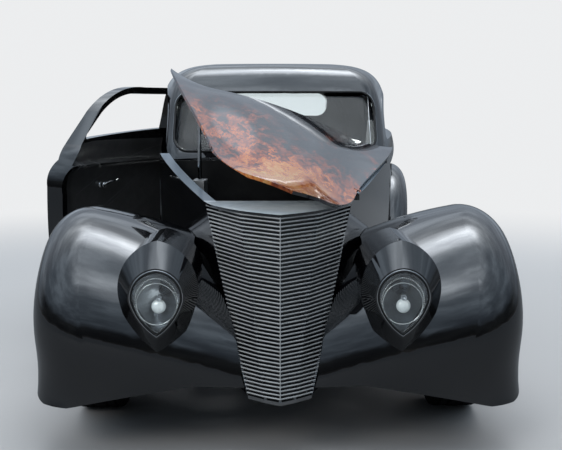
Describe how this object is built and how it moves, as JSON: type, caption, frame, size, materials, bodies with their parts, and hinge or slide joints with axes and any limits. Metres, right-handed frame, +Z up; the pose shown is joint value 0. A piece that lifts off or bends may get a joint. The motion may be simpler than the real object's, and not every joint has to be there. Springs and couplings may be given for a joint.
{
  "type": "hot rod coupe",
  "caption": "Prewar-style hot rod coupe with a side-tilting hood, rear-hinged doors, a decklid, teardrop headlamps and a bowed bar grille; it rolls and steers.",
  "frame": {"origin": "bottom centre of the whole car's bounding box as it stands, with the right door open", "axes": "+Z up, +Y towards the rear, +X towards the car's left side; the car faces -Y"},
  "size_m": [2.0715, 4.4456, 1.488],
  "materials": {
    "body_paint": "gloss",
    "hood_paint": "gloss",
    "polished_bars": "polished",
    "clear_glass": "gloss",
    "chrome": "polished",
    "red_lens": "gloss",
    "frame_black": "satin",
    "trim_black": "satin",
    "seat_leather": "satin",
    "grey_housing": "satin",
    "engine_iron": "satin",
    "radiator_alloy": "matt",
    "cast_steel": "satin",
    "stainless": "brushed",
    "tyre": "matt",
    "alloy_wheel": "polished"
  },
  "bodies": {
    "car_body": {"bench_seat": "seat_leather", "body_shell": "body_paint", "chassis_frame": "frame_black", "dashboard": "trim_black", "engine_block": "engine_iron", "exhaust": "stainless", "firewall": "frame_black", "floor_pan": "frame_black", "front_fender_left": "body_paint", "front_fender_right": "body_paint", "front_suspension": "frame_black", "fuel_tank": "frame_black", "grille": "polished_bars", "headlamp_lens_left": "clear_glass", "headlamp_lens_right": "clear_glass", "headlamp_reflector_left": "chrome", "headlamp_reflector_right": "chrome", "nose_shell": "body_paint", "radiator": "radiator_alloy", "rear_axle": "frame_black", "rear_fender_left": "body_paint", "rear_fender_right": "body_paint", "rear_window_glass": "clear_glass", "running_board_left": "body_paint", "running_board_right": "body_paint", "steering_wheel": "trim_black", "tail_lamp_left": "red_lens", "tail_lamp_right": "red_lens", "windshield_glass": "clear_glass"},
    "hood": {"hood": "hood_paint"},
    "strut_cylinder": {"strut_cylinder": "grey_housing"},
    "strut_rod": {"strut_rod": "chrome"},
    "door_left": {"door_left": "body_paint"},
    "door_right": {"door_right": "body_paint"},
    "decklid": {"decklid": "body_paint"},
    "knuckle_left": {"knuckle_left": "cast_steel"},
    "knuckle_right": {"knuckle_right": "cast_steel"},
    "front_wheel_left": {"wheel_front_left": "alloy_wheel", "tyre_front_left": "tyre"},
    "front_wheel_right": {"wheel_front_right": "alloy_wheel", "tyre_front_right": "tyre"},
    "rear_wheel_left": {"wheel_rear_left": "alloy_wheel", "tyre_rear_left": "tyre"},
    "rear_wheel_right": {"wheel_rear_right": "alloy_wheel", "tyre_rear_right": "tyre"}
  },
  "joints": [
    {"name": "hood_hinge", "type": "hinge", "parent": "car_body", "child": "hood", "pos_m": [0.4172, -1.6972, 0.9], "axis": [0.2512, 0.959, 0.1315], "range_deg": [-20.4, 0]},
    {"name": "strut_swing", "type": "hinge", "parent": "car_body", "child": "strut_cylinder", "pos_m": [-0.22142, -0.98123, 0.4009], "axis": [0.2512, 0.959, 0.1315], "range_deg": [-4.2, 0.3]},
    {"name": "strut_slide", "type": "slide", "parent": "strut_cylinder", "child": "strut_rod", "axis": [0.0055, -0.1372, 0.9905], "range_m": [-0.2868, 0.002]},
    {"name": "door_left_hinge", "type": "hinge", "parent": "car_body", "child": "door_left", "pos_m": [0.8292, 0.4828, 0.85], "axis": [0, 0, 1], "range_deg": [0, 65]},
    {"name": "door_right_hinge", "type": "hinge", "parent": "car_body", "child": "door_right", "pos_m": [-0.5788, 0.4828, 0.85], "axis": [0, 0, -1], "range_deg": [-33, 32]},
    {"name": "decklid_hinge", "type": "hinge", "parent": "car_body", "child": "decklid", "pos_m": [0.1252, 1.2428, 1.04], "axis": [1, 0, 0], "range_deg": [0, 50]},
    {"name": "steer_left", "type": "hinge", "parent": "car_body", "child": "knuckle_left", "pos_m": [0.7652, -1.3972, 0.318], "axis": [0, 0, 1], "range_deg": [-28, 28]},
    {"name": "steer_right", "type": "hinge", "parent": "car_body", "child": "knuckle_right", "pos_m": [-0.5148, -1.3972, 0.318], "axis": [0, 0, 1], "range_deg": [-28, 28]},
    {"name": "front_left_spin", "type": "hinge", "parent": "knuckle_left", "child": "front_wheel_left", "pos_m": [0.8532, -1.3972, 0.318], "axis": [1, 0, 0], "continuous": true},
    {"name": "front_right_spin", "type": "hinge", "parent": "knuckle_right", "child": "front_wheel_right", "pos_m": [-0.6028, -1.3972, 0.318], "axis": [1, 0, 0], "continuous": true},
    {"name": "rear_left_spin", "type": "hinge", "parent": "car_body", "child": "rear_wheel_left", "pos_m": [0.8602, 1.4478, 0.345], "axis": [1, 0, 0], "continuous": true},
    {"name": "rear_right_spin", "type": "hinge", "parent": "car_body", "child": "rear_wheel_right", "pos_m": [-0.6098, 1.4478, 0.345], "axis": [1, 0, 0], "continuous": true}
  ],
  "couplings": [
    {"joint": "strut_swing", "follows": "hood_hinge", "ratio": 0.19126},
    {"joint": "strut_slide", "follows": "hood_hinge", "m_per_rad": 0.79988},
    {"joint": "steer_right", "follows": "steer_left", "ratio": 1}
  ]
}
